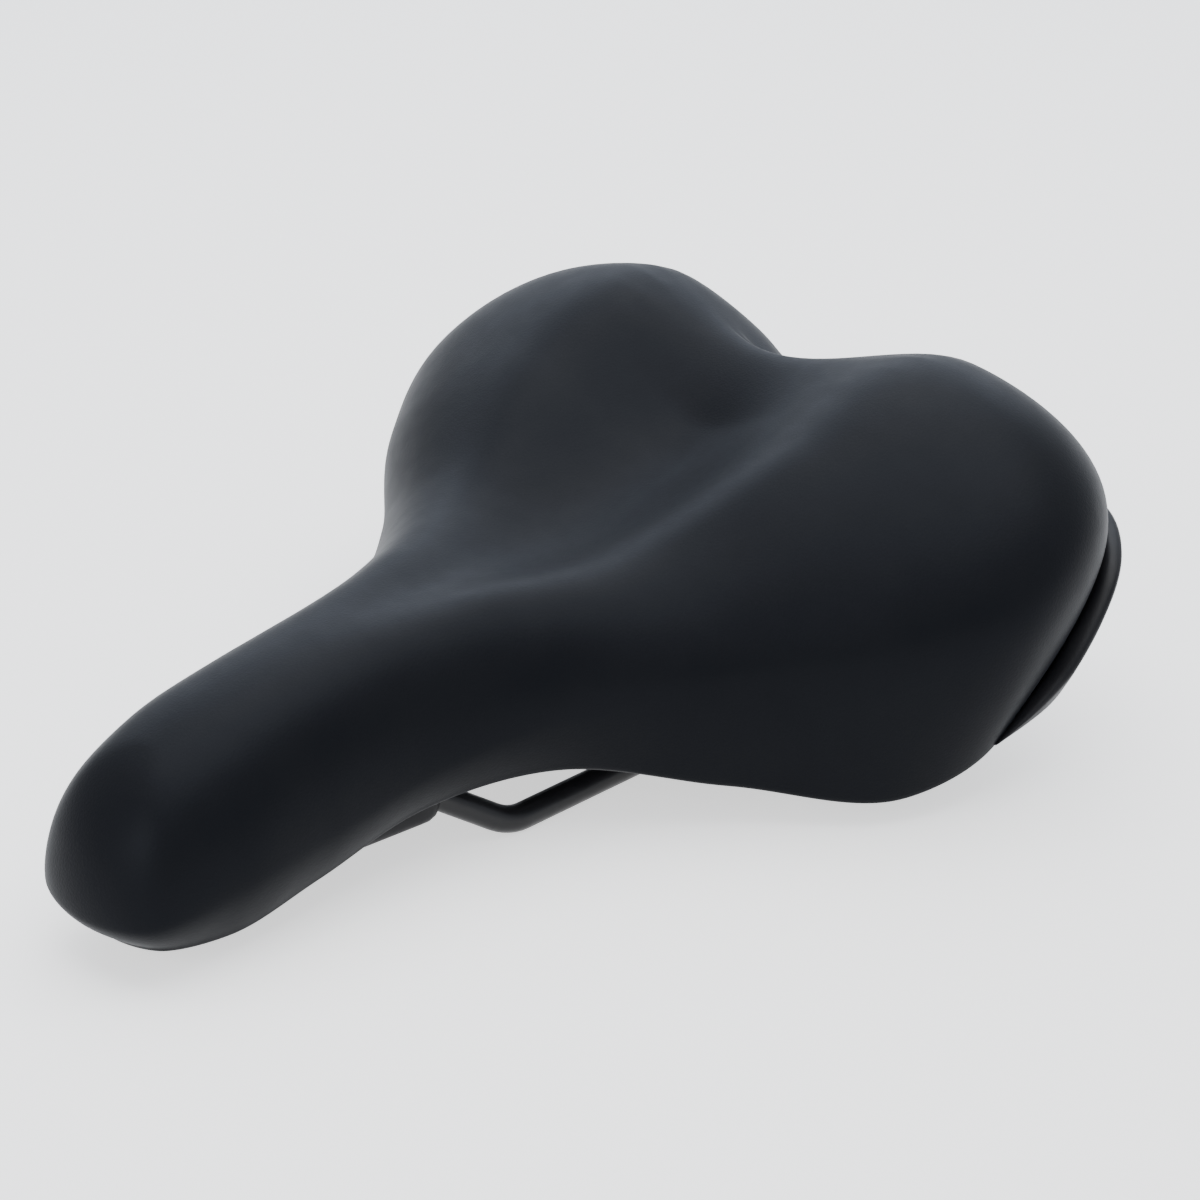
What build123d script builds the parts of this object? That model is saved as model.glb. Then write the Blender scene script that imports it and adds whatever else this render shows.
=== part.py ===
"""Comfort bicycle saddle: moulded gel seat on two steel rails with rear elastomers.

Millimetres. +Z is up, the nose points along -Y and +X is the rider's left.
The origin is midway between the rails, at the middle of their clamp length, at the
height of the rail axes. The left and right halves of every piece are mirror images.
"""
import os
from math import cos, hypot, pi, radians, sin

from build123d import *

os.makedirs("parts", exist_ok=True)

# ---------------------------------------------------------------- driving dimensions
seat_length = 268.1          # nose tip to the back of the cover
seat_width = 220.0           # across the cover's widest line
cover_thickness = 1.6        # moulded skin
layer_gap = 0.4              # between skin, foam, gel and shell
shell_wall = 3.0             # moulded nylon base

gel_depth = 6.0              # thickness of each gel pad
gel_x = 52.0                 # middle of the left gel pad in plan
gel_y = 56.0
gel_half_width = 26.0
gel_half_length = 34.0

rail_diameter = 7.0
rail_spacing = 44.0          # between the rail axes along the clamp length
clamp_length = 75.0          # straight part of the rails
rail_bend_radius = 14.0
rail_nose_spacing = 20.0     # between the rail ends inside the nose socket
rail_exit_spacing = 28.0     # between the rails where they leave the nose socket
rail_nose_height = 19.0
rail_exit_height = 12.5
rail_rear_spacing = 68.0     # between the rail ends inside the rear bridge
rail_rear_height = 22.0
rail_rise_length = 22.0      # along Y, from the clamp length up to the bridge
rock_gap = 0.85              # room round the rail ends in the nose socket
rail_end_gap = 1.5           # between the rail ends and the ends of their bores
rail_end_chamfer = 1.0

socket_length = 41.0
socket_offset = 55.0         # nose tip to the front of the socket
socket_bottom = 7.0
socket_top = 24.0
socket_wall = 1.8            # outside the rail bores
socket_edge = 2.0            # rounding of its lower edges
socket_insertion = 33.0      # how deep the rails reach into it
socket_screw_front = 10.0    # from the socket's front to its first screw
socket_screw_back = 9.0      # from its second screw to its back

bridge_block = 17.0          # length of the part that grips the rails
bridge_height = 13.5
bridge_flange = 6.0          # thickness of the plate that carries the elastomers
bridge_end_wall = 2.0        # behind the rail ends
bridge_radius = 6.0
bridge_gap = 0.5             # from the end of the rails' rise to the bridge
bridge_block_radius = 2.0
bridge_edge = 1.0            # rounding of its lower edges
washer_clearance = 1.0       # between the washers and the grip blocks
bridge_clearance = 1.0       # between the bridge and the bumper
rail_pin_diameter = 3.0

elastomer_diameter = 24.0
elastomer_height = 14.0
elastomer_bore = 9.0
elastomer_waist = 1.6        # depth of the groove round its middle
elastomer_lip = 2.0          # height of the straight rim over and under the groove
tail_gap = 4.0               # from the bosses up to the shell over the elastomers
running_gap = 0.3            # between pieces of the seat and pieces of the rails

bolt_diameter = 6.0
bolt_head_diameter = 11.0
bolt_head_height = 4.0
bolt_hex = 4.0               # across the flats of the key
bolt_head_edge = 1.0
bolt_tip_chamfer = 0.8
small_head_edge = 0.8
small_tip_chamfer = 0.6
bolt_room = 1.8              # round the bolt in the bridge, for the seat's rocking
washer_diameter = 16.0
washer_thickness = 1.5
insert_diameter = 9.0
insert_length = 8.0
boss_wall = 4.0
thread_gap = 0.05            # round screws and inserts in their holes
hole_room = 2.0              # how much deeper the insert holes are
screw_hole_room = 1.0        # how much deeper the small screws' holes are

small_screw_diameter = 4.0
small_head_diameter = 7.5
small_head_height = 2.6
small_screw_grip = 7.0       # how deep it reaches into a boss
small_boss_diameter = 10.0
screw_slot = 1.0             # width of the cross in its head
screw_slot_depth = 1.4
screw_room = 0.4             # round screw heads in their recesses

bumper_gap = 0.3             # under and behind the cover
bumper_screw_x = 72.0
bumper_screw_y = 90.0
bumper_screw_bottom = 26.0
bumper_boss_bottom = 35.0

# ------------------------------------------------------------------ sections of the pad
# Each row is the left half of one section across the pad:
# y, then x and z of the inner end, of the crest, of the widest line and of the lower edge.
# Behind the notch the inner end leaves the middle and follows the notch's side.
PAD = [
    (-152.6, 0, 18, 2.5, 17, 5, 12.5, 2.5, 10),
    (-150.5, 0, 27, 6, 26, 13, 13, 7, 7),
    (-146, 0, 35.5, 10, 34, 20, 14.5, 13, 5),
    (-138, 0, 43, 12, 41, 24, 16.5, 17, 4),
    (-122, 0, 51, 13, 48.5, 26.3, 19.5, 20, 4.5),
    (-98, 0, 56.5, 13.5, 53.5, 27, 22.5, 22, 9.5),
    (-68, 0, 59.3, 14, 57, 28.5, 27.5, 23.5, 16),
    (-35, 0, 58.3, 19, 58.8, 38.5, 33.5, 34, 18),
    (-1.5, 0, 56, 33, 62, 62.5, 39, 58.5, 10),
    (32, 0, 63, 49, 79, 95.5, 45, 89.5, 5.5),
    (58, 0, 73, 55, 90.5, 110, 51.5, 98.5, 16),
    (84, 0, 82, 53, 97, 107, 57.5, 95, 28),
    (98, 0, 76, 53, 93, 99, 59.5, 88, 36.5),
    (106, 14, 70, 55, 88, 92, 60.5, 82, 42),
    (112, 27, 66, 56, 81, 85, 61, 76, 45.5),
    (115.5, 40, 64, 57, 73, 74, 62, 70, 54),
]
# The same for the underside of the foam, which is the top of the base shell.
SHELL = [
    (-136, 0, 23, 7, 21, 13, 9, 13, 4.5),
    (-122, 0, 31, 8, 28, 16, 10, 16, 4.5),
    (-98, 0, 37, 9, 34, 18.3, 15, 18.3, 9.5),
    (-68, 0, 39.5, 11, 37, 19.8, 21, 19.8, 16),
    (-35, 0, 38.5, 17, 37, 30.5, 23, 30.5, 18),
    (-1.5, 0, 37, 29, 36, 54.5, 17, 54.5, 10),
    (32, 0, 43, 44, 44, 85.5, 14, 85.5, 5.5),
    (56, 0, 52, 52, 55, 94, 24, 94, 15),
    (78, 0, 60, 52, 64, 91.5, 33, 91.5, 25),
    (90, 0, 60.5, 51, 64.5, 84.5, 39, 84.5, 32),
    (96, 0, 58, 50, 61, 79.5, 43, 79.5, 36),
]
# The bumper in plan, from the middle plane round to its end: its outside and its inside.
BUMPER_PLAN = [
    (0, 103), (14, 109), (30, 118), (57, 121.5), (82, 118), (98, 107), (106, 92), (105.5, 76), (100, 60),
]
BUMPER_INSIDE = [
    (0, 89), (12, 94), (28, 103), (44, 103.5), (56, 94), (66, 83), (76, 77), (84, 71), (89, 60),
]
# The bumper from the side, as y and z: its upper edge going back and its lower edge coming forward.
BUMPER_TOP = [(58, 15), (76, 25), (90, 39), (102, 49), (112, 56), (124, 58)]
BUMPER_BOTTOM = [(124, 41), (108, 36), (92, 25), (76, 13.5), (58, 11.5)]
PAD_ROUND = 2.3              # exponent of the pad's shoulders
SHELL_ROUND = 2.6
SMALL = 20.0                 # below this length an inset fades out
OVERLAP = 6.0                # how far each half reaches over the middle before it is cut there
HOLLOW = 25.0                # how far a cutting form reaches below the edge
TALL = 100.0                 # height of columns and cuts that run right through

length_scale = seat_length / (PAD[-1][0] - PAD[0][0])
width_scale = seat_width / (2 * max(row[5] for row in PAD))


def moved_in(length, inset):
    """A length less the inset, which fades out on lengths under SMALL."""
    return length - inset * min(1.0, length / SMALL)


def section_points(row, inset, exponent):
    """Points of one half section from its inner end over the crest to its lower edge."""
    _, x_in, z_in, x_crest, z_crest, x_wide, z_wide, x_edge, z_edge = row
    x_wide = moved_in(x_wide * width_scale, inset)
    x_edge = moved_in(x_edge * width_scale, inset)
    z_in = z_wide + moved_in(z_in - z_wide, inset)
    z_crest = z_wide + moved_in(z_crest - z_wide, inset)
    lobed = x_in > 0
    x_first = x_in * width_scale + inset if lobed else -OVERLAP
    x_middle = max(x_first, 0.0)
    x_crest = min(x_crest * width_scale, (x_middle + x_wide) / 2)
    points = [(x_first, z_in)]
    for share in (0.35, 0.7):
        rise = sin(share * pi / 2) ** 0.8 if lobed else (1 - cos(share * pi)) / 2
        points.append((x_middle + (x_crest - x_middle) * share, z_in + (z_crest - z_in) * rise))
    for angle in (0, 30, 52, 72):
        across = sin(radians(angle)) ** (2 / exponent)
        up = cos(radians(angle)) ** (2 / exponent)
        points.append((x_crest + (x_wide - x_crest) * across, z_wide + (z_crest - z_wide) * up))
    points.append((x_wide, z_wide))
    points.append((x_wide - (x_wide - x_edge) / 3, (z_wide + z_edge) / 2))
    points.append((x_edge, z_edge))
    return points


def chord_shares(points):
    """How far along the chain of points each of them lies, from 0 to 1."""
    steps = [hypot(b[0] - a[0], b[1] - a[1]) for a, b in zip(points, points[1:])]
    return [sum(steps[:count]) / sum(steps) for count in range(len(points))]


def half_sections(rows, inset, drop, exponent):
    """Half sections through the rows, moved in by inset, with walls down by drop."""
    widest = max(rows, key=lambda row: row[5])
    shares = chord_shares(section_points(widest, inset, exponent))
    first = rows[0][0]
    last = rows[-1][0]
    shrink = 1 - 2 * inset / ((last - first) * length_scale)
    sections = []
    for row in rows:
        y = first * length_scale + inset + (row[0] - first) * length_scale * shrink
        points = section_points(row, inset, exponent)
        x_first, z_first = points[0]
        x_edge, z_edge = points[-1]
        walls = [(x_edge, z_edge), (x_first, z_edge - drop), (x_first, z_first)]
        if drop:
            walls.insert(1, (x_edge, z_edge - drop))
        with BuildSketch(Plane.XZ.offset(-y)) as section:
            with BuildLine():
                add(Edge.make_spline([Vector(*point) for point in points], parameters=shares))
                Polyline(*walls)
            make_face()
        sections.append(section.sketch)
    return sections


def half_form(rows, inset=0.0, drop=0.0, exponent=PAD_ROUND):
    """Closed left half of the form through the rows, cut flat in the middle and at the back."""
    with BuildPart() as form:
        for section in half_sections(rows, inset, drop, exponent):
            add(section)
        loft()
        split(bisect_by=Plane.YZ, keep=Keep.TOP)
        split(bisect_by=Plane.XZ.offset(inset - rows[-1][0] * length_scale), keep=Keep.TOP)
    return form.part


def shell_form(inset=0.0, drop=0.0):
    return half_form(SHELL, inset, drop, SHELL_ROUND)


def save(piece, label):
    piece.part.label = label
    export_step(piece.part, f"parts/{label}.step")


def mirrored(piece):
    """The right-hand twin of a left-hand piece."""
    with BuildPart() as twin:
        add(piece.part.mirror(Plane.YZ))
    return twin


def elliptic_column(half_width, half_length, grow=0.0):
    """Tall elliptic column over the middle of the left gel pad."""
    with BuildPart() as column:
        with BuildSketch():
            with Locations((gel_x * width_scale, gel_y * length_scale)):
                Ellipse(half_width + grow, half_length + grow)
        extrude(amount=TALL)
    return column.part


# ------------------------------------------------------------------------ derived places
nose_y = PAD[0][0] * length_scale
back_y = PAD[-1][0] * length_scale
rail_radius = rail_diameter / 2
clamp_half = clamp_length / 2
socket_front = nose_y + socket_offset
socket_back = socket_front + socket_length
rail_front = socket_back - socket_insertion
rise_end = clamp_half + rail_rise_length
bridge_front = rise_end + bridge_gap
rail_back = bridge_front + bridge_block - bridge_end_wall
bridge_bottom = rail_rear_height - bridge_height / 2
bridge_top = rail_rear_height + bridge_height / 2
flange_bottom = bridge_top - bridge_flange
mount_x = rail_rear_spacing / 2
mount_y = bridge_front + bridge_block + washer_diameter / 2 + washer_clearance
bridge_back = mount_y + elastomer_diameter / 2
bridge_width = rail_rear_spacing + elastomer_diameter + 4
elastomer_top = bridge_top + elastomer_height
boss_bottom = elastomer_top + running_gap
washer_top = flange_bottom - running_gap
head_top = washer_top - washer_thickness
bolt_top = boss_bottom + insert_length
socket_screw_places = [(0, socket_front + socket_screw_front), (0, socket_back - socket_screw_back)]
bumper_screw_place = (bumper_screw_x * width_scale, bumper_screw_y * length_scale)
bumper_screw_pair = [(side * bumper_screw_place[0], bumper_screw_place[1]) for side in (1, -1)]
mount_pair = [(side * mount_x, mount_y) for side in (1, -1)]

# ----------------------------------------------------------------------------- the seat
pad_outside = half_form(PAD)
pad_inside = half_form(PAD, cover_thickness, HOLLOW)
foam_outside = half_form(PAD, cover_thickness + layer_gap)
gel_top = cover_thickness + 2 * layer_gap
gel_outside = half_form(PAD, gel_top)
gel_inside = half_form(PAD, gel_top + gel_depth, HOLLOW)
gel_room_outside = half_form(PAD, gel_top - 3 * layer_gap)
gel_room_inside = half_form(PAD, gel_top + gel_depth + layer_gap, HOLLOW)
gel_column = elliptic_column(gel_half_width, gel_half_length)
gel_room_column = elliptic_column(gel_half_width, gel_half_length, layer_gap)
shell_outside = shell_form()
shell_middle = shell_form(shell_wall / 2)
shell_inside = shell_form(shell_wall, HOLLOW)
shell_room = shell_form(-layer_gap, HOLLOW)
bumper_room = half_form(PAD, -bumper_gap)

with BuildPart() as socket_room:
    with BuildSketch(Plane.XY.offset(socket_bottom)):
        front_half = rail_nose_spacing / 2 + rail_radius + rock_gap + socket_wall
        back_half = rail_exit_spacing / 2 + rail_radius + rock_gap + socket_wall
        with BuildLine():
            Polyline(
                (front_half, socket_front),
                (back_half, socket_back),
                (-back_half, socket_back),
                (-front_half, socket_front),
                close=True,
            )
        make_face()
    extrude(amount=socket_top - socket_bottom)

with BuildPart() as socket_cut:
    add(socket_room.part)
    offset(amount=layer_gap, kind=Kind.INTERSECTION)

with BuildPart() as cover:
    add(pad_outside)
    add(pad_inside, mode=Mode.SUBTRACT)
    mirror(about=Plane.YZ)
    add(socket_cut.part, mode=Mode.SUBTRACT)

with BuildPart() as tail_room:
    with BuildSketch():
        with Locations((0, (bridge_front + back_y) / 2)):
            Rectangle(bridge_width + 2 * boss_wall, back_y - bridge_front)
    extrude(amount=boss_bottom + tail_gap)

with BuildPart() as gel_layer:
    add(gel_outside)
    add(gel_inside, mode=Mode.SUBTRACT)

with BuildPart() as gel_room:
    add(gel_room_outside)
    add(gel_room_inside, mode=Mode.SUBTRACT)
    add(gel_room_column, mode=Mode.INTERSECT)

with BuildPart() as gel_pad_left:
    add(gel_layer.part)
    add(gel_column, mode=Mode.INTERSECT)

with BuildPart() as foam_pad:
    add(foam_outside)
    add(shell_room, mode=Mode.SUBTRACT)
    add(gel_room.part, mode=Mode.SUBTRACT)
    mirror(about=Plane.YZ)
    add([socket_cut.part, tail_room.part], mode=Mode.SUBTRACT)

with BuildPart() as bosses:
    with BuildSketch(Plane.XY.offset(boss_bottom)):
        with Locations((mount_x, mount_y)):
            Circle(insert_diameter / 2 + boss_wall)
    extrude(amount=TALL)
    with BuildSketch(Plane.XY.offset(socket_top)):
        with Locations(socket_screw_places):
            Circle(small_boss_diameter / 2)
    extrude(amount=TALL)
    with BuildSketch(Plane.XY.offset(bumper_boss_bottom)):
        with Locations(bumper_screw_place):
            Circle(small_boss_diameter / 2)
    extrude(amount=TALL)
    add(shell_middle, mode=Mode.INTERSECT)

with BuildPart() as base_shell:
    add(shell_outside)
    add(shell_inside, mode=Mode.SUBTRACT)
    mirror(about=Plane.YZ)
    add([socket_cut.part, tail_room.part], mode=Mode.SUBTRACT)
    add([bosses.part, bosses.part.mirror(Plane.YZ)])
    with BuildSketch(Plane.XY.offset(boss_bottom)):
        with Locations(mount_pair):
            Circle(insert_diameter / 2 + thread_gap)
    extrude(amount=insert_length + hole_room, mode=Mode.SUBTRACT)
    with BuildSketch(Plane.XY.offset(socket_top)):
        with Locations(socket_screw_places):
            Circle(small_screw_diameter / 2 + thread_gap)
    extrude(amount=small_screw_grip + screw_hole_room, mode=Mode.SUBTRACT)
    with BuildSketch(Plane.XY.offset(bumper_boss_bottom)):
        with Locations(bumper_screw_pair):
            Circle(small_screw_diameter / 2 + thread_gap)
    extrude(amount=small_screw_grip + screw_hole_room, mode=Mode.SUBTRACT)


# ---------------------------------------------------------------------------- the rails
def rail_path(front_overrun=0.0):
    """Left rail's axis: nose socket, clamp length, rise and bridge."""
    across = (rail_exit_spacing - rail_nose_spacing) / 2
    along = socket_back - rail_front
    lean = front_overrun / along
    with BuildLine() as path:
        FilletPolyline(
            (
                rail_nose_spacing / 2 - across * lean,
                rail_front - front_overrun,
                rail_nose_height + (rail_nose_height - rail_exit_height) * lean,
            ),
            (rail_exit_spacing / 2, socket_back, rail_exit_height),
            (rail_spacing / 2, -clamp_half, 0),
            (rail_spacing / 2, clamp_half, 0),
            (rail_rear_spacing / 2, rise_end, rail_rear_height),
            (rail_rear_spacing / 2, rail_back, rail_rear_height),
            radius=rail_bend_radius,
        )
    return path.line


def rod(path, radius):
    with BuildPart() as bar:
        with BuildSketch(Plane(origin=path @ 0, z_dir=path % 0)):
            Circle(radius)
        sweep(path=path)
    return bar.part


pin_places = [(side * mount_x, (bridge_front + rail_back) / 2) for side in (1, -1)]
left_rod = rod(rail_path(), rail_radius)
left_bore = rod(rail_path(), rail_radius + thread_gap)
left_room = rod(rail_path(front_overrun=rail_end_gap), rail_radius + rock_gap)

with BuildPart() as rail_left:
    add(left_rod)
    chamfer(rail_left.edges().filter_by(GeomType.CIRCLE).sort_by(Axis.Y)[0], rail_end_chamfer)
    with BuildSketch():
        with Locations(pin_places[0]):
            Circle(rail_pin_diameter / 2 + thread_gap)
    extrude(amount=TALL, mode=Mode.SUBTRACT)

with BuildPart() as nose_socket:
    add(socket_room.part)
    fillet(nose_socket.edges().filter_by(Axis.Z), socket_edge)
    fillet(nose_socket.faces().sort_by(Axis.Z)[0].edges(), socket_edge)
    add([left_room, left_room.mirror(Plane.YZ)], mode=Mode.SUBTRACT)
    with Locations([(x, y, socket_bottom) for x, y in socket_screw_places]):
        Cylinder(
            small_screw_diameter / 2 + thread_gap,
            socket_top - socket_bottom,
            align=(Align.CENTER, Align.CENTER, Align.MIN),
            mode=Mode.SUBTRACT,
        )
        Cylinder(
            small_head_diameter / 2 + screw_room,
            small_head_height + screw_room,
            align=(Align.CENTER, Align.CENTER, Align.MIN),
            mode=Mode.SUBTRACT,
        )


def small_screw(places, seat_z, top_z):
    """Pan-head screws with a cross slot, heads below seat_z and tips at top_z."""
    with BuildPart() as screws:
        with BuildSketch(Plane.XY.offset(seat_z)):
            with Locations(places):
                Circle(small_head_diameter / 2)
        extrude(amount=-small_head_height)
        with BuildSketch(Plane.XY.offset(seat_z)):
            with Locations(places):
                Circle(small_screw_diameter / 2)
        extrude(amount=top_z - seat_z)
        chamfer(screws.edges().filter_by(GeomType.CIRCLE).group_by(Axis.Z)[-1], small_tip_chamfer)
        fillet(screws.edges().filter_by(GeomType.CIRCLE).group_by(Axis.Z)[0], small_head_edge)
        with BuildSketch(Plane.XY.offset(seat_z - small_head_height)):
            with Locations(places):
                Rectangle(small_head_diameter * 0.6, screw_slot)
                Rectangle(screw_slot, small_head_diameter * 0.6)
        extrude(amount=screw_slot_depth, mode=Mode.SUBTRACT)
    return screws


socket_screws = small_screw(
    socket_screw_places, socket_bottom + small_head_height + screw_room, socket_top + small_screw_grip
)
bumper_screws = small_screw(
    bumper_screw_pair,
    bumper_screw_bottom + small_head_height,
    bumper_boss_bottom + small_screw_grip,
)

with BuildPart() as rear_bridge:
    with BuildSketch(Plane.XY.offset(flange_bottom)):
        with Locations((0, (bridge_front + bridge_back) / 2)):
            RectangleRounded(bridge_width, bridge_back - bridge_front, bridge_radius)
        with Locations((0, bridge_back)):
            Ellipse(mount_x - elastomer_diameter / 2, elastomer_diameter / 2, mode=Mode.SUBTRACT)
    extrude(amount=bridge_flange)
    with BuildSketch(Plane.XY.offset(bridge_bottom)):
        with Locations([(side * mount_x, bridge_front + bridge_block / 2) for side in (1, -1)]):
            RectangleRounded(rail_diameter + 2 * boss_wall, bridge_block, bridge_block_radius)
        with Locations((0, bridge_front + bridge_block / 2)):
            Rectangle(2 * mount_x, boss_wall)
    extrude(amount=bridge_height)
    fillet(rear_bridge.faces().sort_by(Axis.Z)[0].edges(), bridge_edge)
    add([left_bore, left_bore.mirror(Plane.YZ)], mode=Mode.SUBTRACT)
    with BuildSketch():
        with Locations(pin_places):
            Circle(rail_pin_diameter / 2 + thread_gap)
    extrude(amount=TALL, mode=Mode.SUBTRACT)
    with BuildSketch():
        with Locations(mount_pair):
            Circle(bolt_diameter / 2 + bolt_room)
    extrude(amount=TALL, mode=Mode.SUBTRACT)

with BuildPart() as rail_pins:
    with BuildSketch(Plane.XY.offset(bridge_bottom)):
        with Locations(pin_places):
            Circle(rail_pin_diameter / 2)
    extrude(amount=bridge_height)

# ----------------------------------------------------------------- the rear suspension
with BuildPart() as elastomer_left:
    with BuildSketch(Plane.XZ):
        with BuildLine():
            outer = elastomer_diameter / 2
            Polyline(
                (outer, elastomer_height - elastomer_lip),
                (outer, elastomer_height),
                (elastomer_bore / 2, elastomer_height),
                (elastomer_bore / 2, 0),
                (outer, 0),
                (outer, elastomer_lip),
            )
            ThreePointArc(
                (outer, elastomer_lip),
                (outer - elastomer_waist, elastomer_height / 2),
                (outer, elastomer_height - elastomer_lip),
            )
        make_face()
    revolve(axis=Axis.Z)
elastomer_left.part.position = (mount_x, mount_y, bridge_top)

with BuildPart() as mount_bolt_left:
    with BuildSketch(Plane.XY.offset(head_top)):
        with Locations((mount_x, mount_y)):
            Circle(bolt_head_diameter / 2)
    extrude(amount=-bolt_head_height)
    fillet(mount_bolt_left.edges().sort_by(Axis.Z)[0], bolt_head_edge)
    with BuildSketch(Plane.XY.offset(head_top)):
        with Locations((mount_x, mount_y)):
            Circle(bolt_diameter / 2)
    extrude(amount=bolt_top - head_top)
    chamfer(mount_bolt_left.edges().sort_by(Axis.Z)[-1], bolt_tip_chamfer)
    with BuildSketch(Plane.XY.offset(head_top - bolt_head_height)):
        with Locations((mount_x, mount_y)):
            RegularPolygon(bolt_hex / 2, 6, major_radius=False)
    extrude(amount=bolt_head_height / 2, mode=Mode.SUBTRACT)

with BuildPart() as bolt_washer_left:
    with BuildSketch(Plane.XY.offset(head_top)):
        with Locations((mount_x, mount_y)):
            Circle(washer_diameter / 2)
            Circle(bolt_diameter / 2 + thread_gap, mode=Mode.SUBTRACT)
    extrude(amount=washer_thickness)

with BuildPart() as insert_left:
    with BuildSketch(Plane.XY.offset(boss_bottom)):
        with Locations((mount_x, mount_y)):
            Circle(insert_diameter / 2)
            Circle(bolt_diameter / 2 + thread_gap, mode=Mode.SUBTRACT)
    extrude(amount=insert_length)

# ------------------------------------------------------------------------- rear bumper

def scaled_plan(points):
    return [(x * width_scale, y * length_scale) for x, y in points]


with BuildPart() as bridge_room:
    with BuildSketch():
        with Locations((0, (bridge_front + bridge_back) / 2)):
            RectangleRounded(
                bridge_width + 2 * bridge_clearance,
                bridge_back - bridge_front + 2 * bridge_clearance,
                bridge_radius,
            )
        with Locations((0, bridge_back + bridge_clearance)):
            Ellipse(
                mount_x - elastomer_diameter / 2 - bridge_clearance,
                elastomer_diameter / 2,
                mode=Mode.SUBTRACT,
            )
    extrude(amount=elastomer_top)

with BuildPart() as rear_bumper:
    with BuildSketch():
        with BuildLine():
            outside = Spline(*scaled_plan(BUMPER_PLAN))
            inside = Spline(*scaled_plan(BUMPER_INSIDE))
            Line(outside @ 0, inside @ 0)
            Line(outside @ 1, inside @ 1)
        make_face()
    extrude(amount=TALL)
    with BuildSketch(Plane.YZ):
        with BuildLine():
            upper = Spline(*[(y * length_scale, z) for y, z in BUMPER_TOP])
            lower = Spline(*[(y * length_scale, z) for y, z in BUMPER_BOTTOM])
            Line(upper @ 1, lower @ 0)
            Line(lower @ 1, upper @ 0)
        make_face()
    extrude(amount=seat_width, mode=Mode.INTERSECT)
    add([bumper_room, shell_outside, bridge_room.part], mode=Mode.SUBTRACT)
    with Locations((*bumper_screw_place, bumper_screw_bottom - HOLLOW)):
        Cylinder(
            small_head_diameter / 2 + screw_room,
            small_head_height + HOLLOW,
            align=(Align.CENTER, Align.CENTER, Align.MIN),
            mode=Mode.SUBTRACT,
        )
        Cylinder(
            small_screw_diameter / 2 + thread_gap,
            2 * HOLLOW,
            align=(Align.CENTER, Align.CENTER, Align.MIN),
            mode=Mode.SUBTRACT,
        )
    mirror(about=Plane.YZ)

for piece, label in (
    (cover, "cover"),
    (foam_pad, "foam_pad"),
    (gel_pad_left, "gel_pad_left"),
    (mirrored(gel_pad_left), "gel_pad_right"),
    (base_shell, "base_shell"),
    (rear_bumper, "rear_bumper"),
    (bumper_screws, "bumper_screws"),
    (nose_socket, "nose_socket"),
    (socket_screws, "socket_screws"),
    (rail_left, "rail_left"),
    (mirrored(rail_left), "rail_right"),
    (rear_bridge, "rear_bridge"),
    (rail_pins, "rail_pins"),
    (elastomer_left, "elastomer_left"),
    (mirrored(elastomer_left), "elastomer_right"),
    (mount_bolt_left, "mount_bolt_left"),
    (mirrored(mount_bolt_left), "mount_bolt_right"),
    (bolt_washer_left, "bolt_washer_left"),
    (mirrored(bolt_washer_left), "bolt_washer_right"),
    (insert_left, "insert_left"),
    (mirrored(insert_left), "insert_right"),
):
    save(piece, label)
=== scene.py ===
import math

import bmesh
import bpy
import numpy as np
from mathutils import Matrix, Vector
from mathutils.bvhtree import BVHTree


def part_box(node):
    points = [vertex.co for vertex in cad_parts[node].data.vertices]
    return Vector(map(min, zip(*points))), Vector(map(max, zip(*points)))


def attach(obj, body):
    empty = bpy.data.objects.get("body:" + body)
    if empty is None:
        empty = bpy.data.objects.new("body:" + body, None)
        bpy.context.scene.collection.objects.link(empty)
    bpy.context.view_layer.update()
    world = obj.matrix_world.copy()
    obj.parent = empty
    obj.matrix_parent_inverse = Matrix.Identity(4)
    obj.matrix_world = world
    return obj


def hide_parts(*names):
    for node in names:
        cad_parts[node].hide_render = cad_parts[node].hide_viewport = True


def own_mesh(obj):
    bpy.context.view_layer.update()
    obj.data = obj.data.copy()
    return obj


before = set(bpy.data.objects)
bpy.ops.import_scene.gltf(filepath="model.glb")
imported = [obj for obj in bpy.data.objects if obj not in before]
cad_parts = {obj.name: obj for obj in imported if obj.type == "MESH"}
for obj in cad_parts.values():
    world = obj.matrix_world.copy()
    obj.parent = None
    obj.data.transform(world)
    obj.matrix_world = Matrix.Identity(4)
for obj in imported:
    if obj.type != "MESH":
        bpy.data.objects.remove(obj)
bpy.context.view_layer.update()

MM = 0.001
cover_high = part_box("cover")[1]
rail_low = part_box("rail_left")[0]

# ------------------------------------------------------------------- the seat's form
# One half of the outline in millimetres: x and y of the widest line, its height, the
# height of the cover's lower edge, and how far that edge is tucked in.
OUTLINE = np.array([
    (0, -153, 12.5, 4, 8.5),
    (19, -147.5, 14, 5, 7.5),
    (26, -125, 19, 4, 6.5),
    (27, -98, 22.5, 9.5, 5),
    (28.5, -68, 27.5, 16, 5),
    (38.5, -35, 33.5, 18, 4.5),
    (62.5, -1.5, 39, 10, 4),
    (95.5, 32, 45, 5.5, 6),
    (110, 58, 51.5, 16, 11.5),
    (106, 87, 58, 29.5, 11.5),
    (85, 112, 61, 45.5, 9.5),
    (55, 116, 64, 51.5, 9.5),
    (24, 110.5, 66, 52.5, 8.5),
    (0, 98, 67.5, 51, 6),
])
DRAWN_HALF_WIDTH = 111.0     # half width of the cover for which the outline is stated
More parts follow.
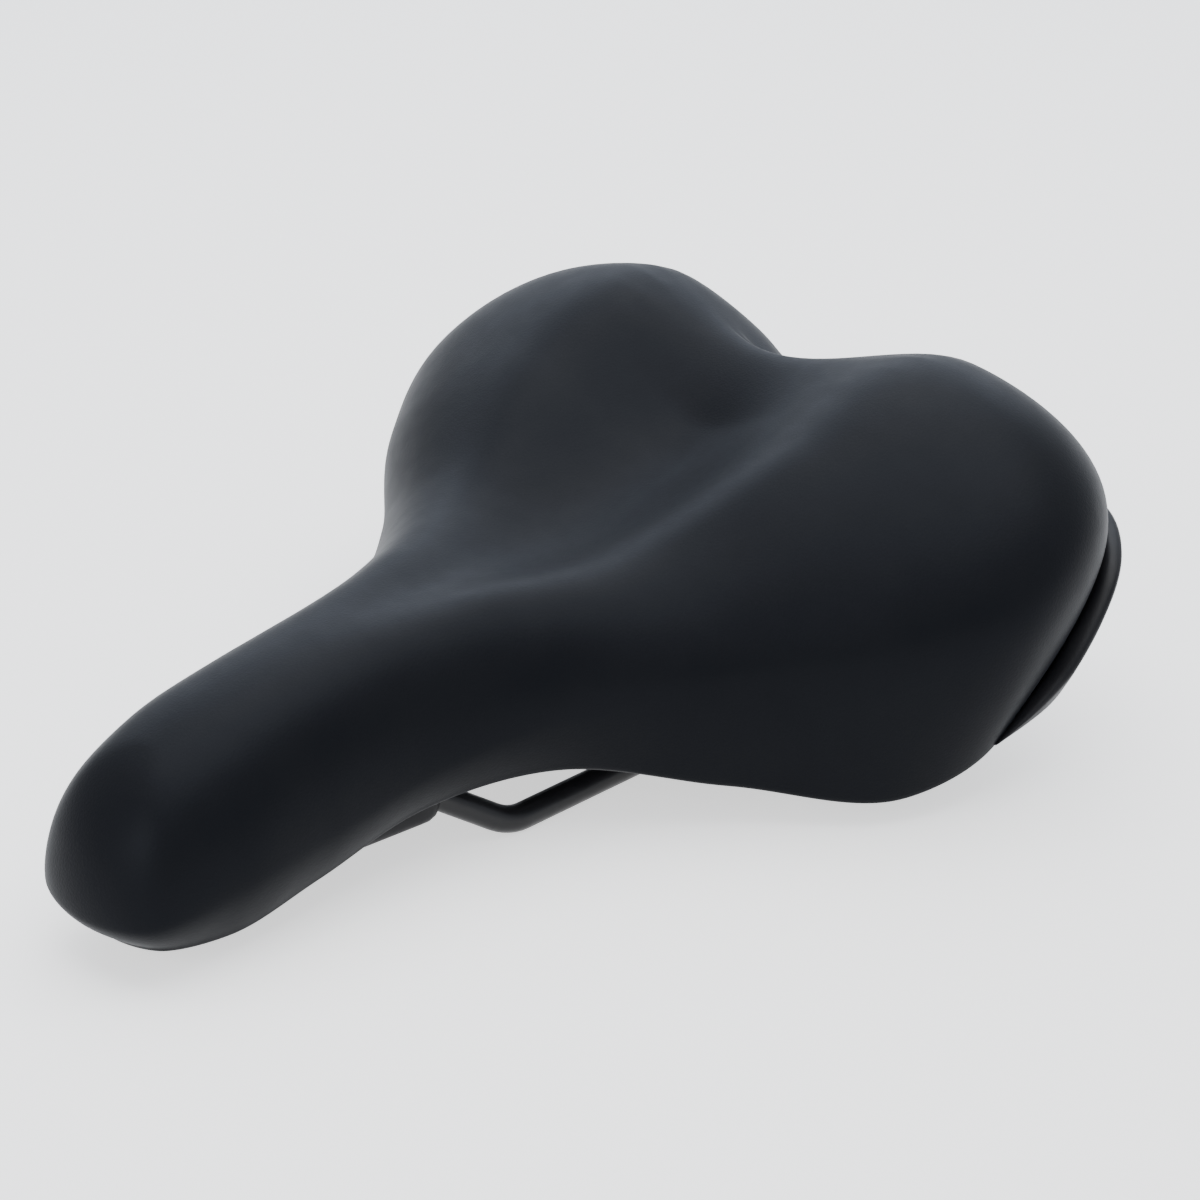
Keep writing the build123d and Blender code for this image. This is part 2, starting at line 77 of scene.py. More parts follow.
# Along the seat: y, height of the centre line, rise of the lobes over it, where their
# crest lies as a share of the half width, and how far the seat falls outside the crest.
CROWN = np.array([
    (-153, 38.5, 0, 0.50, 2.4),
    (-122, 51, 0, 0.50, 2.4),
    (-82, 58.5, 0, 0.50, 3.2),
    (-41, 58.5, 3, 0.50, 5.6),
    (0, 56, 8, 0.52, 9),
    (41, 66, 19, 0.51, 9.8),
    (82, 83, 17, 0.48, 7.2),
    (118, 82, 10, 0.50, 4.8),
])
TAIL = (60.0, 0.97)          # how far past the widest place the half width goes on, and its share there
FALL_LIMIT = 1.3             # the crown falls on to that share of the way from crest to edge
SPINE = (-128.5, 75.5)       # the crown's centre line, round whose ends the rings turn
SPINE_EASE = 8.0             # how gradually they start to turn
SHOULDER = (2.29, 2.38)      # exponents of the rounding down to the widest line
RIM_HOLD = 4                 # exponent that keeps an inner layer's lowering away from that line
SKIRT = 1.6                  # how late the skirt turns in under the widest line
SAMPLES = 141                # along one half of the outline
TOP_RINGS = 20
SKIRT_RINGS = 9

# The hem's section: how far inside the cover's lower edge, and how far over it.
HEM = [
    (0.3, -0.8), (1.3, -1.6), (3.0, -2.0), (4.8, -1.7),
    (5.9, -0.6), (6.3, 1.2), (6.6, 4.5), (6.9, 8.5),
]
SKIN_THICKNESS = 1.2
BASE_INSET = 1.9             # the shell's rim inside the cover's lower edge
BASE_LIFT = 1.2              # the shell's rim over the cover's lower edge
BASE_WALL = 3.0
ARCH = (3.4, 1.7)            # exponents of the shell's rounding from its rim up to its arch
ARCH_LOBE = 0.5              # share of the lobes' rise by which the shell lies deeper
ARCH_HOLD = 6                # exponent that keeps the wall's lowering away from the rim
PAD_DEPTH = 22.0             # from the crown down to the shell
FOAM_GAP = 1.7               # between the cover's outside and the foam


def curve_through(xs, ys):
    """Smooth function through points, with slopes taken from their neighbours."""
    xs = np.asarray(xs, float)
    ys = np.asarray(ys, float)
    step = np.diff(xs)
    rise = np.diff(ys) / step
    slope = np.empty(len(xs))
    slope[1:-1] = (rise[:-1] * step[1:] + rise[1:] * step[:-1]) / (step[:-1] + step[1:])
    slope[0] = rise[0]
    slope[-1] = rise[-1]

    def value(at):
        at = np.clip(at, xs[0], xs[-1])
        i = np.clip(np.searchsorted(xs, at) - 1, 0, len(xs) - 2)
        h = xs[i + 1] - xs[i]
        t = (at - xs[i]) / h
        return (
            (2 * t**3 - 3 * t**2 + 1) * ys[i]
            + (t**3 - 2 * t**2 + t) * h * slope[i]
            + (3 * t**2 - 2 * t**3) * ys[i + 1]
            + (t**3 - t**2) * h * slope[i + 1]
        )

    return value


OUTLINE[:, 0] *= cover_high[0] / MM / DRAWN_HALF_WIDTH
centre, lobe, crest, fall = [curve_through(CROWN[:, 0], CROWN[:, k]) for k in (1, 2, 3, 4)]
widest_row = int(np.argmax(OUTLINE[:, 0]))
half_width = curve_through(
    np.append(OUTLINE[1:widest_row + 1, 1], OUTLINE[widest_row, 1] + TAIL[0]),
    np.append(OUTLINE[1:widest_row + 1, 0], OUTLINE[widest_row, 0] * TAIL[1]),
)


def crown(x, y):
    """Height of the seat before its shoulders are rounded."""
    share = np.abs(x) / half_width(y)
    inner = np.clip(share / crest(y), 0, 1)
    outer = np.clip((share - crest(y)) / (1 - crest(y)), 0, FALL_LIMIT)
    return centre(y) + lobe(y) * (0.5 - 0.5 * np.cos(np.pi * inner)) - fall(y) * outer**2


def outline():
    """x, y, widest height, edge height and tuck along the half outline, nose to notch."""
    run = np.append(0, np.cumsum(np.hypot(np.diff(OUTLINE[:, 0]), np.diff(OUTLINE[:, 1]))))
    run /= run[-1]
    at = np.concatenate([[-run[1]], run, [2 - run[-2]]])
    share = np.linspace(0, 1, SAMPLES)
    columns = []
    for k in range(5):
        side = -1 if k == 0 else 1
        values = np.concatenate([[side * OUTLINE[1, k]], OUTLINE[:, k], [side * OUTLINE[-2, k]]])
        columns.append(curve_through(at, values)(share))
    columns[0][[0, -1]] = 0
    return columns


def outward(x, y):
    """Unit normals of the half outline in plan."""
    along_x = np.gradient(x)
    along_y = np.gradient(y)
    size = np.hypot(along_x, along_y)
    return along_y / size, -along_x / size


def edge_offset(x, y, inset):
    """The outline moved in by inset, with its ends kept on the middle plane."""
    normal_x, normal_y = outward(x, y)
    moved_x = np.maximum(x - normal_x * inset, 0)
    moved_x[[0, -1]] = 0
    return moved_x, y - normal_y * inset


def spine_of(y):
    """Where on the spine the point of the outline at y belongs, eased at both of its ends."""
    eased = SPINE[0] + SPINE_EASE * np.log1p(np.exp((y - SPINE[0]) / SPINE_EASE))
    return SPINE[1] - SPINE_EASE * np.log1p(np.exp((SPINE[1] - eased) / SPINE_EASE))


def top_rings(inset=0.0):
    """Rings from the spine out to the widest line, as (x, y, z) rows in millimetres."""
    x, y, wide, _, _ = outline()
    x, y = edge_offset(x, y, inset)
    spine = spine_of(y)
    rim = crown(x, y)
    rings = []
    for t in np.sin(np.linspace(0, np.pi / 2, TOP_RINGS)):
        ring_y = spine + (y - spine) * t
        drop = 1 - (1 - t ** SHOULDER[0]) ** (1 / SHOULDER[1])
        height = crown(x * t, ring_y) - inset * (1 - t**RIM_HOLD) - (rim - wide) * drop
        rings.append(np.stack([x * t, ring_y, height], 1))
    return rings


def skirt_rings(inset=0.0, lift=0.0):
    """Rings from the widest line down to the lower edge."""
    x, y, wide, edge, tuck = outline()
    rings = []
    for k in np.linspace(0, 1, SKIRT_RINGS)[1:]:
        ring_x, ring_y = edge_offset(x, y, inset + tuck * k**SKIRT)
        rings.append(np.stack([ring_x, ring_y, wide + (edge + lift - wide) * k], 1))
    return rings


def hem_rings():
    """Rings of the fold round the shell's rim: under it and up its inner face."""
    x, y, _, edge, tuck = outline()
    rings = []
    for inset, rise in HEM:
        ring_x, ring_y = edge_offset(x, y, tuck + inset)
        rings.append(np.stack([ring_x, ring_y, edge + rise], 1))
    return rings


def arch_rings(inset, lower, lift):
    """Rings from the shell's rim up and in to the spine, lowered away from the rim."""
    x, y, _, edge, tuck = outline()
    x, y = edge_offset(x, y, tuck + inset)
    spine = spine_of(y)
    rings = []
    for t in np.sin(np.linspace(np.pi / 2, 0, TOP_RINGS)):
        ring_x = x * t
        ring_y = spine + (y - spine) * t
        arch = crown(ring_x, ring_y) - lobe(ring_y) * ARCH_LOBE - PAD_DEPTH
        rise = (1 - t ** ARCH[0]) ** (1 / ARCH[1])
        height = edge + lift + (arch - edge - lift) * rise - lower * (1 - t**ARCH_HOLD)
        rings.append(np.stack([ring_x, ring_y, height], 1))
    return rings


# ----------------------------------------------------------------------- mesh helpers
WELD = 1e-6                  # points nearer than this, in metres, become one
SLIVER = 1e-7                # edges shorter than this are dissolved


def shade_smooth(piece):
    for face in piece.data.polygons:
        face.use_smooth = True


def finish_mesh(builder, name):
    """Turns the builder into a smooth-shaded object."""
    mesh = bpy.data.meshes.new(name)
    builder.to_mesh(mesh)
    builder.free()
    piece = bpy.data.objects.new(name, mesh)
    bpy.context.scene.collection.objects.link(piece)
    shade_smooth(piece)
    return piece


def tidy_mesh(builder):
    """Welds points that meet, drops what has no size and turns the faces outwards."""
    bmesh.ops.remove_doubles(builder, verts=builder.verts, dist=WELD)
    bmesh.ops.dissolve_degenerate(builder, edges=builder.edges, dist=SLIVER)
    bmesh.ops.recalc_face_normals(builder, faces=builder.faces)


def join_loops(builder, loops):
    """Quads between each closed loop of points and the next one."""
    for near, far in zip(loops, loops[1:]):
        for k in range(len(near)):
            after = (k + 1) % len(near)
            builder.faces.new((near[k], far[k], far[after], near[after]))


def ring_mesh(rings, name):
    """Closed loops made of each half ring and its mirror image, joined by quads."""
    build = bmesh.new()
    loops = []
    for ring in rings:
        mirror_half = ring[-2:0:-1] * (-1, 1, 1)
        loop = np.concatenate([ring, mirror_half])
        loops.append([build.verts.new(Vector(point) * MM) for point in loop])
    join_loops(build, loops)
    tidy_mesh(build)
    return finish_mesh(build, name)


def apply_modifiers(piece):
    """Makes the mesh that the modifiers give the piece's own one."""
    graph = bpy.context.evaluated_depsgraph_get()
    mesh = bpy.data.meshes.new_from_object(piece.evaluated_get(graph))
    piece.modifiers.clear()
    piece.data = mesh


def thicken(piece, thickness):
    """A wall of that many millimetres inside the surface."""
    wall = piece.modifiers.new("wall", "SOLIDIFY")
    wall.thickness = thickness * MM
    wall.offset = -1
    wall.use_even_offset = False


def subdivide(piece):
    smoothing = piece.modifiers.new("smoothing", "SUBSURF")
    smoothing.levels = 1
    smoothing.render_levels = 1


def revolve(builder, profile, x, y, segments=48):
    """Adds the surface swept by a profile of (radius, z) round the vertical through x, y."""
    loops = []
    turns = np.linspace(0, 2 * np.pi, segments, endpoint=False)
    for radius, z in profile:
        loops.append([
            builder.verts.new(Vector((x + radius * math.cos(turn), y + radius * math.sin(turn), z)) * MM)
            for turn in turns
        ])
    join_loops(builder, loops)


def join_into(piece, builder):
    """Adds the builder's faces to a piece's mesh."""
    builder.from_mesh(piece.data)
    builder.to_mesh(piece.data)
    builder.free()
    shade_smooth(piece)


def smooth_by_angle(piece, degrees):
    """Smooth shading with crisp edges where faces meet at more than the angle."""
    with bpy.context.temp_override(object=piece, active_object=piece, selected_objects=[piece],
                                   selected_editable_objects=[piece]):
        bpy.ops.object.shade_smooth_by_angle(angle=math.radians(degrees))
        for modifier in list(piece.modifiers):
            bpy.ops.object.modifier_apply(modifier=modifier.name)


# ----------------------------------------------------------------- material helpers
class Look:
    """A material and its node tree, with short calls for the nodes that these looks use."""

    def __init__(self, name, colour, roughness, metallic=0.0, specular=0.5):
        self.material = bpy.data.materials.new(name)
        self.material.use_nodes = True
        self.tree = self.material.node_tree
        self.shader = self.tree.nodes["Principled BSDF"]
        self.set("Base Color", (*colour, 1))
        self.set("Roughness", roughness)
        self.set("Metallic", metallic)
        self.set("Specular IOR Level", specular)
        self.material.diffuse_color = (*colour, 1)
        self.normal = None

    def set(self, socket, value):
        self.shader.inputs[socket].default_value = value

    def node(self, kind, **settings):
        node = self.tree.nodes.new(kind)
        for key, value in settings.items():
            if key in node.inputs:
                node.inputs[key].default_value = value
            else:
                setattr(node, key, value)
        return node

    def link(self, start, end):
        self.tree.links.new(start, end)

    def place(self, stretch=(1, 1, 1)):
        """Object coordinates in metres, stretched."""
        coordinates = self.node("ShaderNodeTexCoord")
        mapping = self.node("ShaderNodeMapping")
        mapping.inputs["Scale"].default_value = stretch
        self.link(coordinates.outputs["Object"], mapping.inputs["Vector"])
        return mapping.outputs["Vector"]

    def noise(self, scale, detail=2.0, stretch=(1, 1, 1), rough=0.5):
        node = self.node("ShaderNodeTexNoise", Scale=scale, Detail=detail, Roughness=rough)
        self.link(self.place(stretch), node.inputs["Vector"])
        return node.outputs["Fac"]

    def cells(self, scale):
        node = self.node("ShaderNodeTexVoronoi", Scale=scale, feature="F1")
        self.link(self.place(), node.inputs["Vector"])
        return node.outputs["Distance"]

    def span(self, value, low, high, out_low, out_high):
        """The value, with low to high stretched to out_low to out_high."""
        node = self.node("ShaderNodeMapRange")
        limits = {"From Min": low, "From Max": high, "To Min": out_low, "To Max": out_high}
        for key, number in limits.items():
            node.inputs[key].default_value = number
        self.link(value, node.inputs["Value"])
        return node.outputs["Result"]

    def tint(self, value, low, high, dark, light):
        """Base colour running from dark to light as value goes from low to high."""
        ramp = self.node("ShaderNodeValToRGB")
        ramp.color_ramp.elements[0].position = low
        ramp.color_ramp.elements[0].color = (*dark, 1)
        ramp.color_ramp.elements[1].position = high
        ramp.color_ramp.elements[1].color = (*light, 1)
        self.link(value, ramp.inputs["Fac"])
        self.link(ramp.outputs["Color"], self.shader.inputs["Base Color"])

    def bump(self, height, strength, distance):
        """A layer of relief, distance in metres, over the layers before it."""
        node = self.node("ShaderNodeBump", Strength=strength, Distance=distance)
        self.link(height, node.inputs["Height"])
        if self.normal:
            self.link(self.normal, node.inputs["Normal"])
        self.normal = node.outputs["Normal"]
        self.link(self.normal, self.shader.inputs["Normal"])


def skin_look():
    """Matte moulded polyurethane skin: fine pebble grain with faint uneven gloss."""
    look = Look("moulded_skin", (0.0036, 0.0038, 0.0047), 0.42, specular=0.05)
    look.set("Specular Tint", (0.76, 0.84, 1.0, 1))
    look.set("Sheen Weight", 0.016)
    look.set("Sheen Roughness", 0.30)
    look.set("Sheen Tint", (0.70, 0.82, 1.0, 1))
    look.tint(look.noise(38, 3), 0.35, 0.68, (0.0033, 0.0035, 0.0043), (0.0040, 0.0042, 0.0050))
    look.link(look.span(look.noise(160, 3), 0.3, 0.7, 0.42, 0.46), look.shader.inputs["Roughness"])
    look.bump(look.cells(1500), 0.26, 0.00010)
    look.bump(look.noise(3400, 2), 0.22, 0.00006)
    return look.material


def base_look():
    """Injection moulded nylon base: spark-eroded texture with uneven tone and gloss."""
    look = Look("moulded_nylon", (0.010, 0.010, 0.011), 0.5, specular=0.30)
    look.tint(look.noise(90, 4), 0.3, 0.75, (0.0075, 0.0075, 0.0082), (0.0135, 0.0135, 0.0145))
    look.link(look.span(look.noise(420, 2), 0.3, 0.7, 0.42, 0.60), look.shader.inputs["Roughness"])
    look.bump(look.noise(2600, 3), 0.30, 0.00012)
    return look.material


def bumper_look():
    """Satin moulded plastic of the rear bumper and nose socket."""
    look = Look("satin_plastic", (0.0060, 0.0060, 0.0070), 0.42, specular=0.12)
    look.tint(look.noise(70, 4), 0.3, 0.7, (0.0050, 0.0050, 0.0060), (0.0080, 0.0080, 0.0090))
    look.link(look.span(look.noise(240, 3), 0.3, 0.7, 0.38, 0.48), look.shader.inputs["Roughness"])
    look.bump(look.noise(1900, 3), 0.20, 0.00008)
    return look.material


def rail_look():
    """Black powder-coated steel rod: slight orange peel under a thin gloss."""
    look = Look("black_coated_steel", (0.0050, 0.0050, 0.0058), 0.34, specular=0.26)
    look.tint(look.noise(120, 3), 0.3, 0.75, (0.0042, 0.0042, 0.0050), (0.0070, 0.0070, 0.0078))
    look.link(look.span(look.noise(300, 3), 0.3, 0.7, 0.30, 0.40), look.shader.inputs["Roughness"])
    look.bump(look.noise(900, 2), 0.12, 0.00005)
    return look.material


def bridge_look():
    """Glass-filled nylon of the rail bridge: coarse grain and paler specks."""
    look = Look("filled_nylon", (0.012, 0.012, 0.013), 0.52, specular=0.30)
    look.tint(look.noise(700, 2, rough=0.7), 0.40, 0.78, (0.009, 0.009, 0.010), (0.026, 0.026, 0.028))
    look.link(look.span(look.noise(260, 3), 0.3, 0.7, 0.44, 0.62), look.shader.inputs["Roughness"])
    look.bump(look.noise(1700, 3), 0.30, 0.00012)
    return look.material


def elastomer_look():
    """Dense dark grey rubber without shine, a little uneven in tone."""
    look = Look("elastomer_rubber", (0.035, 0.036, 0.038), 0.72, specular=0.35)
    look.tint(look.noise(230, 4), 0.3, 0.75, (0.028, 0.029, 0.031), (0.050, 0.051, 0.054))
    look.link(look.span(look.noise(500, 2), 0.3, 0.7, 0.62, 0.82), look.shader.inputs["Roughness"])
    look.bump(look.noise(1500, 3), 0.35, 0.00012)
    return look.material


def zinc_look():
    """Zinc-plated steel with faint upright streaks and duller patches."""
    look = Look("zinc_plated_steel", (0.38, 0.39, 0.41), 0.30, metallic=1.0)
    look.tint(look.noise(600, 3), 0.3, 0.75, (0.30, 0.31, 0.33), (0.46, 0.47, 0.49))
    look.link(look.span(look.noise(900, 3), 0.3, 0.7, 0.22, 0.42), look.shader.inputs["Roughness"])
    look.bump(look.noise(2200, 2, stretch=(1, 1, 0.15)), 0.12, 0.00004)
    return look.material


def brass_look():
    """Turned brass of the threaded inserts, slightly tarnished."""
    look = Look("turned_brass", (0.70, 0.50, 0.22), 0.30, metallic=1.0)
    look.tint(look.noise(500, 3), 0.3, 0.75, (0.50, 0.35, 0.15), (0.76, 0.56, 0.27))
    look.link(look.span(look.noise(800, 3), 0.3, 0.7, 0.25, 0.45), look.shader.inputs["Roughness"])
    look.bump(look.noise(2500, 2, stretch=(0.2, 0.2, 1)), 0.15, 0.00004)
    return look.material


def foam_look():
    """Moulded polyurethane foam: a relief of small cells."""
    look = Look("moulded_foam", (0.30, 0.30, 0.31), 0.85, specular=0.25)
    look.tint(look.noise(120, 4), 0.3, 0.75, (0.22, 0.22, 0.23), (0.36, 0.36, 0.37))
    look.bump(look.cells(900), 0.5, 0.0003)
    return look.material


def gel_look():
    """Blue silicone gel pad, glossy and a little cloudy."""
    look = Look("silicone_gel", (0.06, 0.22, 0.42), 0.18, specular=0.5)
    look.tint(look.noise(60, 3), 0.3, 0.75, (0.04, 0.16, 0.33), (0.09, 0.28, 0.50))
    look.set("Subsurface Weight", 0.25)
    look.set("Subsurface Radius", (0.002, 0.003, 0.004))
    look.bump(look.noise(300, 3), 0.15, 0.0002)
    return look.material


def floor_look():
    """Pale studio floor, bright enough to show only faint shadows."""
    look = Look("studio_floor", (0.50, 0.50, 0.50), 0.9, specular=0.05)
    look.set("Emission Color", (1, 1, 1, 1))
    look.set("Emission Strength", 1.1)
    look.bump(look.noise(90, 2), 0.02, 0.0002)
    return look.material


SKIN = skin_look()
BASE = base_look()
BUMPER = bumper_look()
RAIL = rail_look()
BRIDGE = bridge_look()
RUBBER = elastomer_look()
ZINC = zinc_look()
BRASS = brass_look()
FOAM = foam_look()
GEL = gel_look()


def dress(piece, material):
    piece.data.materials.clear()
    piece.data.materials.append(material)


def add_piece(piece, material, body, slot_name, *nodes):
    """Gives a piece its look and its body, and hides the CAD nodes it stands for; slot_name is not used.
    """
    dress(piece, material)
    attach(piece, body)
    if nodes:
        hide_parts(*nodes)


# ------------------------------------------------------------------------- the cover
# Places in plan where the form is relaxed: middle, reach, rounds, and the height under
# which nothing moves.
EASED = (
    ((0.0, 94.0), (50.0, 38.0), 60, 66.0),
    ((0.0, -138.0), (34.0, 26.0), 16, 15.0),
)
FADE = 8.0                   # over which the relaxing sets in above that height
FULL_SHARE = 1.8             # the higher, the wider the middle that is fully relaxed


def relax(piece, middle, reach, rounds, level):
    """Evens out the surface round a place in plan, fading out towards its reach."""
    group = piece.vertex_groups.new(name="relaxed")
    for vertex in piece.data.vertices:
        x, y, z = vertex.co / MM
        near = 1 - math.hypot((x - middle[0]) / reach[0], (y - middle[1]) / reach[1])
        above = (z - level) / FADE
        if near > 0 and above > 0:
            weight = min(1.0, near * FULL_SHARE) * min(1.0, above)
            group.add([vertex.index], weight, "REPLACE")
    easing = piece.modifiers.new("easing", "SMOOTH")
    easing.factor = 0.5
    easing.iterations = rounds
    easing.vertex_group = group.name
    apply_modifiers(piece)
    piece.vertex_groups.clear()


def build_cover():
    """One moulded skin: crown, shoulders, skirt and the hem folded round the shell's rim.

    It comes with a search tree of its outside.
    """
    piece = ring_mesh(top_rings() + skirt_rings() + hem_rings(), "cover_skin")
    for place in EASED:
        relax(piece, *place)
    outside = BVHTree.FromObject(piece, bpy.context.evaluated_depsgraph_get())
    thicken(piece, SKIN_THICKNESS)
    subdivide(piece)
    apply_modifiers(piece)
    shade_smooth(piece)
    return piece, outside


cover, OUTSIDE = build_cover()
add_piece(cover, SKIN, "seat", "cover_skin", "cover")


# --------------------------------------------------------------------- the base shell
def build_base():
    """Moulded shell under the foam: its rim, inner wall and arched top, closed above."""
    upper = arch_rings(BASE_INSET, lower=0.0, lift=BASE_LIFT)
    under = arch_rings(BASE_INSET + BASE_WALL, lower=BASE_WALL, lift=BASE_LIFT)
    piece = ring_mesh(upper[::-1] + under, "base_shell_moulding")
    subdivide(piece)
    apply_modifiers(piece)
    shade_smooth(piece)
    return piece


MOUNT = (34.0, 86.0)         # x and y of an elastomer and its bolt
BOSS_BOTTOM = 43.05
MOUNT_BOSS = (8.3, BOSS_BOTTOM, 4.55, 10.0)      # radius, bottom, and the hole's radius and depth
BUMPER_SCREW = (72.0, 90.0)
BUMPER_BOSS_BOTTOM = 35.0
BUMPER_BOSS = (4.8, BUMPER_BOSS_BOTTOM, 2.05, 8.0)
SOCKET_SCREWS = [(0.0, -87.6), (0.0, -65.6)]
SOCKET_TOP = 24.0
SOCKET_BOSS = (4.8, SOCKET_TOP, 2.05, 8.0)
BOSS_ROOT = [(2.4, 0.0), (1.0, 2.8), (0.4, 5.0)]  # a boss's flare: added radius, below its root
BOSS_SUNK = 1.5              # how far a boss reaches into the shell

RIB_HEIGHT = 3.5
RIB_HALF = 0.9               # half of its thickness at the root
RIB_TAPER = 0.8              # share of that at its lower edge
RIB_SUNK = 0.8               # how far a rib reaches into the shell
RIB_ENDS = (8, 0.25)         # how fast a rib's ends grow, and the share of height they start with
RIBS_ALONG = [((12, -48), (12, 66)), ((30, -8), (52, 66)), ((12, 66), (76, 58))]
RIBS_ACROSS = [(-40, 12), (-16, 26), (8, 44), (32, 66)]      # y and half of the length
STAR = (7.5, 15.0, 7.0)      # ribs round a mount boss: start, end and height
STAR_TURNS = (0, 72, 144, 216, 288)


def under_height(tree, x, y):
    """Height of the shell's underside over a point in plan."""
    hit = tree.ray_cast(Vector((x, y, -30)) * MM, Vector((0, 0, 1)))[0]
    return hit.z / MM if hit else None


def boss(builder, tree, x, y, radius, bottom, bore, depth):
    """Tapered boss with a blind hole, from the shell's underside down to bottom."""
    top = under_height(tree, x, y) + BOSS_SUNK
    flare = [(radius + extra, top - below) for extra, below in BOSS_ROOT]
    chamfered_end = [
        (radius, bottom + 0.7), (radius - 0.6, bottom),
        (bore + 0.3, bottom), (bore, bottom + 0.4),
    ]
    hole = [(bore, bottom + depth), (0, bottom + depth)]
    revolve(builder, [(0, top), *flare, *chamfered_end, *hole], x, y)


def rib(builder, tree, start, end, height=RIB_HEIGHT, steps=24):
    """Thin wall that hangs under the shell along a line in plan."""
    start, end = np.array(start, float), np.array(end, float)
    run = end - start
    side = np.array([-run[1], run[0]]) / np.linalg.norm(run) * RIB_HALF
    growth, first = RIB_ENDS
    rows = []
    for share in np.linspace(0, 1, steps):
        middle = start + run * share
        roof = under_height(tree, *middle)
        if roof is None:
            continue
        fade = min(1.0, share * growth + first, (1 - share) * growth + first)
        rows.append([
            (*(middle + side), roof + RIB_SUNK),
            (*(middle + side * RIB_TAPER), roof - height * fade),
            (*(middle - side * RIB_TAPER), roof - height * fade),
            (*(middle - side), roof + RIB_SUNK),
        ])
    rows = [[builder.verts.new(Vector(point) * MM) for point in row] for row in rows]
    join_loops(builder, rows)
    builder.faces.new(rows[0])
    builder.faces.new(rows[-1][::-1])


def base_details(tree):
    """The shell's bosses and ribs."""
    details = bmesh.new()
    near, far, height = STAR
    for side in (1, -1):
        boss(details, tree, side * MOUNT[0], MOUNT[1], *MOUNT_BOSS)
        boss(details, tree, side * BUMPER_SCREW[0], BUMPER_SCREW[1], *BUMPER_BOSS)
        for turn in STAR_TURNS:
            reach = np.array([math.cos(math.radians(turn)), math.sin(math.radians(turn))])
            place = np.array([side * MOUNT[0], MOUNT[1]])
            rib(details, tree, place + reach * near, place + reach * far, height, steps=8)
        for start, end in RIBS_ALONG:
            rib(details, tree, (side * start[0], start[1]), (side * end[0], end[1]))
    for x, y in SOCKET_SCREWS:
        boss(details, tree, x, y, *SOCKET_BOSS)
    for y, half in RIBS_ACROSS:
        rib(details, tree, (-half, y), (half, y), steps=40)
    tidy_mesh(details)
    return details


base = build_base()
join_into(base, base_details(BVHTree.FromObject(base, bpy.context.evaluated_depsgraph_get())))
smooth_by_angle(base, degrees=40)
add_piece(base, BASE, "seat", "nylon", "base_shell")


# ------------------------------------------------------------- foam and gel under the skin
GEL_MIDDLE = (52.0, 56.0)
GEL_HALF = (26.0, 34.0)      # across and along
GEL_TOP = 2.4                # under the cover's outside
GEL_DEPTH = 5.5
# The gel's section: share of the way from its middle to its outline, and share of its depth.
GEL_SECTION = [
    (0.02, 0.0), (0.35, 0.0), (0.7, 0.0), (0.92, 0.03), (0.985, 0.22), (1.0, 0.5),
    (0.985, 0.8), (0.92, 0.97), (0.7, 1.0), (0.35, 1.0), (0.02, 1.0),
]
HOLLOW_EDGE = (1.12, 0.14)   # share where the foam's hollow for the gel ends, and over which it sinks
HOLLOW_ROOM = 0.6            # under the gel
FOAM_RIM = 2.5               # the foam's lower edge, further in than the shell's rim
FOAM_LIFT = (7.0, 9.0)       # over the cover's lower edge, outside and on the shell
FOAM_OVER_SHELL = 0.6


def gel_share(x, y):
    """0 at the middle of a gel pad and 1 on its outline."""
    across = (np.abs(x) - GEL_MIDDLE[0]) / GEL_HALF[0]
    along = (y - GEL_MIDDLE[1]) / GEL_HALF[1]
    return np.hypot(across, along)


def skin_height(x, y):
    """Height of the cover's outside over a point in plan, from its mesh."""
    hit = OUTSIDE.ray_cast(Vector((x, y, 200)) * MM, Vector((0, 0, -1)))[0]
    return hit.z / MM


def keep_under_skin(piece, gap):
    """Pulls in every point of a piece that lies outside the cover or nearer to it than gap."""
    for vertex in piece.data.vertices:
        nearest, normal, _, _ = OUTSIDE.find_nearest(vertex.co)
        if (vertex.co - nearest).dot(normal) > -gap * MM:
            vertex.co = nearest - normal * gap * MM


def build_gel(side):
    """Gel pad: an even layer that follows the crown, with a rounded edge."""
    build = bmesh.new()
    loops = []
    for share, depth in GEL_SECTION:
        loop = []
        for turn in np.linspace(0, 2 * np.pi, 64, endpoint=False):
            x = side * (GEL_MIDDLE[0] + GEL_HALF[0] * share * np.cos(turn))
            y = GEL_MIDDLE[1] + GEL_HALF[1] * share * np.sin(turn)
            z = skin_height(x, y) - GEL_TOP - GEL_DEPTH * depth
            loop.append(build.verts.new(Vector((x, y, z)) * MM))
        loops.append(loop)
    join_loops(build, loops)
    build.faces.new(loops[0])
    build.faces.new(loops[-1])
    bmesh.ops.recalc_face_normals(build, faces=build.faces)
    return finish_mesh(build, "gel_layer_" + ("left" if side > 0 else "right"))


def build_foam():
    """Foam pad: fills the cover down to the shell, hollowed where the gel pads lie."""
    upper = []
    for ring in top_rings(FOAM_GAP):
        x, y, z = ring.T
        hollow = np.clip((HOLLOW_EDGE[0] - gel_share(x, y)) / HOLLOW_EDGE[1], 0, 1)
        upper.append(np.stack([x, y, z - hollow * (GEL_TOP + GEL_DEPTH + HOLLOW_ROOM)], 1))
    skirt = skirt_rings(FOAM_GAP, lift=FOAM_LIFT[0])[:-1]
    inset = BASE_INSET + FOAM_GAP + FOAM_RIM
    under = arch_rings(inset, lower=-FOAM_OVER_SHELL, lift=FOAM_LIFT[1])
    return ring_mesh(upper + skirt + under, "foam_filling")


for side, name in ((1, "left"), (-1, "right")):
    gel = build_gel(side)
    add_piece(gel, GEL, "seat", "gel", "gel_pad_" + name)

foam = build_foam()
keep_under_skin(foam, FOAM_GAP)
add_piece(foam, FOAM, "seat", "foam", "foam_pad")

